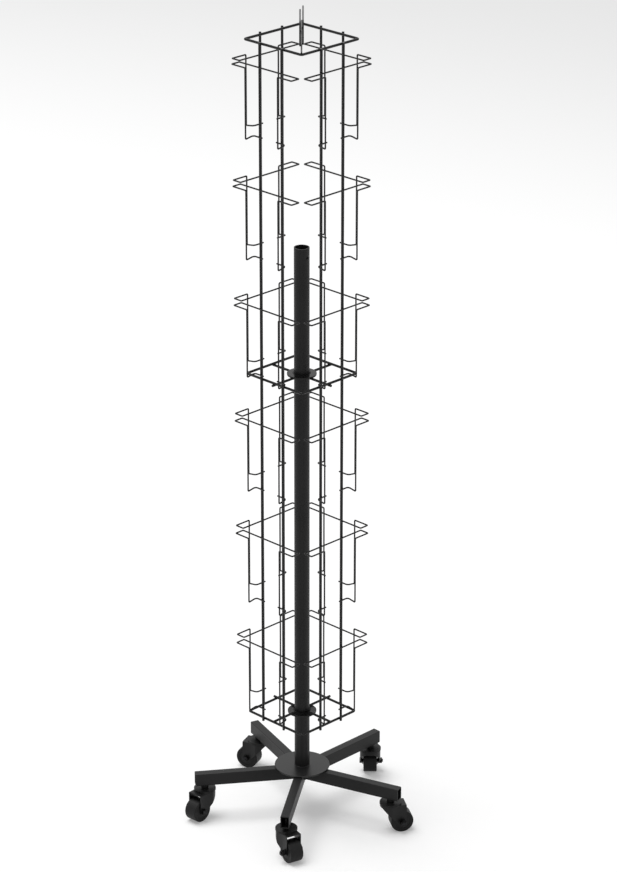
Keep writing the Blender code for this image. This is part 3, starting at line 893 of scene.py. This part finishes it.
leg_underside, leg_top = (corner.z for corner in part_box("leg_2"))
leg_start = LEG_WIDTH / 2 / tan(pi / LEGS) + GAP
stem_circle = (Vector(joints["swivel_turn_1"]["pos_m"]) - post_axis).length

leg_middle = ((leg_start + LEG_REACH) / 2, 0, (leg_underside + leg_top) / 2)
bpy.ops.mesh.primitive_cube_add(
    size=1, location=leg_middle, scale=(LEG_REACH - leg_start, LEG_WIDTH, LEG_HEIGHT)
)
start_edit()
pick("EDGE", lambda edge: abs(edge.verts[0].co.x - edge.verts[1].co.x) > LEG_WIDTH * 2)
bpy.ops.mesh.bevel(offset=LEG_CORNER, segments=4, affect="EDGES")
leg = end_edit("leg_model")
inside = (LEG_REACH * 2, LEG_WIDTH - 2 * LEG_WALL, LEG_HEIGHT - 2 * LEG_WALL)
carve(leg, block("hollow", leg_middle, inside))
hole = bar(STEM_RADIUS + GAP, leg_underside - LEG_WALL, leg_underside + 2 * LEG_WALL, SMALL_SIDES)
hole.data.transform(Matrix.Translation((stem_circle, 0, 0)))
carve(leg, hole)
soften(leg, LEG_EDGE)
leg_weld = bar(LEG_WELD, leg_underside, leg_top, LEG_WELD_SIDES)
soften(leg_weld, LEG_WELD / 3)
leg_weld.data.transform(Matrix.Translation((leg_start, LEG_WIDTH / 2, 0)))
join(leg, leg_weld)
leg_numbers = range(1, LEGS + 1)
leg_turns = {number: FIRST_LEG_ANGLE + 2 * pi * (number - 1) / LEGS for number in leg_numbers}
for number, turn in leg_turns.items():
    made = copy_of(leg, f"leg_tube_{number}", to_post @ Matrix.Rotation(turn, 4, "Z"))
    dress(made, leg_paint, "base_coat", "base", f"leg_{number}")
use_up(leg)
print("legs", LEGS, "stems on a circle of", round(stem_circle, 4))

# %% [markdown]
# ## The casters
#
# A caster is a pressed fork that swivels on a stem, with a wheel on a bolt behind the swivel axis.
# Each is modelled with its swivel axis at the origin, trailing towards +X, and then turned and
# moved under its leg. The frame's joints say where the stems and the hubs are.

# %% Where the casters stand
hub_height = joints["wheel_roll_1"]["pos_m"][2]
caster_places = {}
for number in leg_turns:
    stem = Vector(joints[f"swivel_turn_{number}"]["pos_m"])
    hub_place = Vector(joints[f"wheel_roll_{number}"]["pos_m"])
    trail_way = hub_place - stem
    turn = atan2(trail_way.y, trail_way.x)
    caster_places[number] = Matrix.Translation((stem.x, stem.y, 0)) @ Matrix.Rotation(turn, 4, "Z")
trail = trail_way.to_2d().length
print("hubs", round(hub_height, 4), "above the floor, trailing by", round(trail, 4))

# %% [markdown]
# ### The fork
#
# The fork starts as a flat sheet in plan: round behind the swivel axis, drawn in to two flat cheeks
# in front. Its rim is folded down, the fold is rounded, and the sheet gets its thickness. Then the
# side view is cut: a low skirt behind, and a horn that slants down to the axle. Last, the hood's
# front edge gets a short lip that is turned down between the cheeks.

# %% Fork sheet
FORK_SHEET = 0.0012
FORK_FOLD = 0.0022
FORK_BOSS = 0.0070
CHEEK_OUTER = 0.0141
CUP_DIAMETER = 0.0382
CUP_RISE = 0.0034
CUP_STEP = 0.0008
COLLAR_HEIGHT = 0.0063
FOLD_ANGLE = 1.0
LEVEL_ENOUGH = 0.9
TINY = 0.0001

fork_top = leg_underside - GAP - COLLAR_HEIGHT - CUP_RISE
cup_radius = CUP_DIAMETER / 2
skirt_radius = cup_radius - CUP_STEP
cheek_start = trail - FORK_BOSS
fork_front = trail + FORK_BOSS

bpy.ops.mesh.primitive_circle_add(
    vertices=ROUND_SIDES, radius=skirt_radius, fill_type="NGON", location=(0, 0, fork_top)
)
start_edit()
bpy.ops.mesh.bisect(plane_co=(0, 0, 0), plane_no=(1, 0, 0), clear_outer=True)
pick("EDGE", lambda edge: edge.is_boundary and middle(edge).x > -TINY)
bpy.ops.mesh.extrude_region_move(TRANSFORM_OT_translate={"value": (cheek_start, 0, 0)})
narrow = (1, CHEEK_OUTER / skirt_radius, 1)
bpy.ops.transform.resize(value=narrow, center_override=(cheek_start, 0, fork_top))
bpy.ops.mesh.extrude_region_move(TRANSFORM_OT_translate={"value": (fork_front - cheek_start, 0, 0)})
pick("EDGE", lambda edge: edge.is_boundary and middle(edge).x < fork_front - TINY)
bpy.ops.mesh.extrude_region_move(TRANSFORM_OT_translate={"value": (0, 0, -fork_top)})
bpy.ops.mesh.select_all(action="SELECT")
bpy.ops.mesh.normals_make_consistent(inside=False)
pick("EDGE", lambda edge: len(edge.link_faces) == 2 and edge.calc_face_angle() > FOLD_ANGLE)
bpy.ops.mesh.bevel(offset=FORK_FOLD, segments=5, affect="EDGES")
bpy.ops.object.mode_set(mode="OBJECT")
fork = bpy.context.object
fork.name = "fork_model"
level_faces = [face for face in fork.data.polygons if abs(face.normal.z) > LEVEL_ENOUGH]
upward = max(level_faces, key=lambda face: face.area).normal.z
apply_step(fork, "SOLIDIFY", thickness=FORK_SHEET, offset=-upward, use_even_offset=True)
print("fork sheet", len(fork.data.vertices), "vertices, top at", round(fork_top, 4))

# %% Cut the side view
FORK_BLANK = 0.0600
FORK_SKIRT_DROP = 0.0046
FORK_SKIRT_SETBACK = 0.0350
FORK_LIP = 0.0010
FORK_EDGE = 0.00025
AXLE_RADIUS = 0.0030

skirt = fork_top - FORK_SKIRT_DROP
skirt_end = trail - FORK_SKIRT_SETBACK
above = fork_top + FORK_SHEET
band_back = -FORK_BLANK / 2
band_middle = ((band_back + fork_front) / 2, 0, (skirt + above) / 2)
band = block("side_view", band_middle, (fork_front - band_back, FORK_BLANK, above - skirt))
horn = lie_along(bar(FORK_BOSS, -FORK_BLANK / 2, FORK_BLANK / 2), "Y", (trail, 0, hub_height))
root_middle = ((skirt_end + fork_front) / 2, 0, (skirt + above) / 2)
root = block("horn_root", root_middle, (fork_front - skirt_end, FORK_BLANK, above - skirt))
join(horn, root)
bpy.ops.object.mode_set(mode="EDIT")
bpy.ops.mesh.select_all(action="SELECT")
bpy.ops.mesh.convex_hull()
bpy.ops.object.mode_set(mode="OBJECT")
carve(band, horn, "UNION")
carve(fork, band, "INTERSECT")
axle_hole = bar(AXLE_RADIUS + GAP, -FORK_BLANK, FORK_BLANK, SMALL_SIDES)
carve(fork, lie_along(axle_hole, "Y", (trail, 0, hub_height)))
lip_middle = (fork_front - FORK_SHEET / 2, 0, fork_top - FORK_SHEET / 2 - FORK_LIP / 2)
lip_size = (FORK_SHEET, 2 * CHEEK_OUTER - FORK_SHEET, FORK_SHEET + FORK_LIP - FORK_FOLD / 2)
carve(fork, block("lip", lip_middle, lip_size), "UNION")
soften(fork, FORK_EDGE)
print("fork cut", len(fork.data.vertices), "vertices")

# %% Swivel cup, stem and rivet
CUP_EDGE = 0.0002
RACE_GROOVE = 0.0005
COLLAR_RADIUS = 0.0065
STEM_LENGTH = 0.0120
STEM_SIDES = 40
STEM_EDGE = 0.0004
RIVET_RADIUS = 0.0050
RIVET_TIP = 0.6
RIVET_DROP = 0.0024
RIVET_EDGE = 0.0004

cup_top = fork_top + CUP_RISE
cup_low = fork_top - FORK_SHEET / 2
groove_top = (cup_top + fork_top) / 2 + RACE_GROOVE
groove_low = groove_top - 2 * RACE_GROOVE
stem_top = leg_underside + STEM_LENGTH
collar_top = cup_top + COLLAR_HEIGHT
cup = lathe("cup", [
    (0, cup_top),
    (cup_radius, cup_top),
    (cup_radius, groove_top),
    (cup_radius - RACE_GROOVE, groove_top),
    (cup_radius - RACE_GROOVE, groove_low),
    (cup_radius, groove_low),
    (cup_radius, cup_low),
    (0, cup_low),
])
soften(cup, CUP_EDGE)
stem = lathe("stem", [
    (0, stem_top),
    (STEM_RADIUS, stem_top),
    (STEM_RADIUS, collar_top),
    (COLLAR_RADIUS, collar_top),
    (COLLAR_RADIUS, cup_top - FORK_SHEET),
    (0, cup_top - FORK_SHEET),
], STEM_SIDES)
soften(stem, STEM_EDGE)
hood_under = fork_top - FORK_SHEET
rivet = lathe("rivet", [
    (0, hood_under + FORK_SHEET / 2),
    (RIVET_RADIUS, hood_under + FORK_SHEET / 2),
    (RIVET_RADIUS, hood_under - RIVET_DROP / 2),
    (RIVET_RADIUS * RIVET_TIP, hood_under - RIVET_DROP),
    (0, hood_under - RIVET_DROP),
], SMALL_SIDES)
soften(rivet, RIVET_EDGE)
join(fork, cup, stem, rivet)
for number, place in caster_places.items():
    made = copy_of(fork, f"pressed_fork_{number}", place)
    dress(made, fork_paint, "base_coat", f"swivel_{number}", f"caster_fork_{number}")
use_up(fork)
print("forks", len(caster_places))

# %% [markdown]
# ### The wheel
#
# A moulded wheel starts as a cylinder on its side. Its tread edges are rounded, each face is inset
# and pushed in to leave a rim, and the middle is drawn out again to the hub that meets the fork.

# %% Wheel
WHEEL_WIDTH = 0.0240
WHEEL_HUB_STEP = 0.0006
WHEEL_EDGE = 0.0016
WHEEL_RIM = 0.0062
WHEEL_WEB_INSET = 0.0006
HUB_RADIUS = 0.0062
WHEEL_SIDES = 96
WHEEL_SOFTNESS = 0.0003

wheel_radius = hub_height
half_width = WHEEL_WIDTH / 2
bpy.ops.mesh.primitive_cylinder_add(
    vertices=WHEEL_SIDES, radius=wheel_radius, depth=WHEEL_WIDTH, rotation=(pi / 2, 0, 0)
)
start_edit()
pick("EDGE", lambda edge: abs(abs(middle(edge).y) - half_width) < TINY)
bpy.ops.mesh.bevel(offset=WHEEL_EDGE, segments=5, affect="EDGES")
for side in (-1, 1):
    pick("FACE", lambda face: len(face.verts) == WHEEL_SIDES and middle(face).y * side > 0)
    bpy.ops.mesh.inset(thickness=WHEEL_RIM - WHEEL_EDGE)
    bpy.ops.mesh.extrude_region_move(
        TRANSFORM_OT_translate={"value": (0, -side * WHEEL_WEB_INSET, 0)}
    )
    bpy.ops.mesh.inset(thickness=wheel_radius - WHEEL_RIM - HUB_RADIUS)
    bpy.ops.transform.translate(value=(0, side * (WHEEL_WEB_INSET + WHEEL_HUB_STEP), 0))
wheel = end_edit("wheel_model")
carve(wheel, lie_along(bar(AXLE_RADIUS + GAP, -FORK_BLANK, FORK_BLANK, SMALL_SIDES), "Y"))
soften(wheel, WHEEL_SOFTNESS)
wheel.data.transform(Matrix.Translation((trail, 0, hub_height)))
for number, place in caster_places.items():
    made = copy_of(wheel, f"moulded_wheel_{number}", place)
    dress(made, wheel_plastic, "wheel_plastic", f"wheel_{number}", f"caster_wheel_{number}")
use_up(wheel)
print("wheels of radius", round(wheel_radius, 4))

# %% [markdown]
# ### The axle bolt
#
# A bolt through both cheeks carries the wheel, with a hexagon head on one side and a nut and a bit
# of thread on the other.

# %% Axle bolt
HEX_RADIUS = 0.00575
HEAD_THICKNESS = 0.0046
NUT_THICKNESS = 0.0070
BOLT_TIP = 0.0016
HEX_EDGE = 0.0006
THREAD_DEPTH = 0.0004
THREAD_PITCH = 0.0008

seat = CHEEK_OUTER + GAP
nut_end = seat + NUT_THICKNESS
tip = nut_end + BOLT_TIP
shank_top = seat + HEAD_THICKNESS / 2
bolt_end = -tip - TINY / 2
shank = [(0, shank_top), (AXLE_RADIUS, shank_top), (AXLE_RADIUS, -nut_end)]
for turn in range(int(BOLT_TIP / THREAD_PITCH)):
    start = -nut_end - turn * THREAD_PITCH
    shank += [(AXLE_RADIUS - THREAD_DEPTH, start - THREAD_PITCH / 2), (AXLE_RADIUS, start - THREAD_PITCH)]
shank += [(AXLE_RADIUS - THREAD_DEPTH, bolt_end), (0, bolt_end)]
bolt = lathe("bolt_model", shank, SMALL_SIDES)
hexes = []
for low, high in ((seat, seat + HEAD_THICKNESS), (-nut_end, -seat)):
    bpy.ops.mesh.primitive_cylinder_add(
        vertices=6, radius=HEX_RADIUS, depth=high - low, location=(0, 0, (low + high) / 2)
    )
    start_edit()
    nut = end_edit("nut")
    soften(nut, HEX_EDGE, 3)
    hexes.append(nut)
join(bolt, *hexes)
lie_along(bolt, "Y", (trail, 0, hub_height))
for number, place in caster_places.items():
    made = copy_of(bolt, f"axle_bolt_{number}", place)
    dress(made, bolt_zinc, "black_zinc", f"swivel_{number}", f"caster_axle_{number}")
use_up(bolt)
print("bolts", len(caster_places))

# %% [markdown]
# ## Measure
#
# The dressed rack has to be as large as the solids and no larger. The box of everything it shows
# is measured and printed.

# %% Finish
low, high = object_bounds()
print("visual box", [round(value, 4) for value in low], [round(value, 4) for value in high])
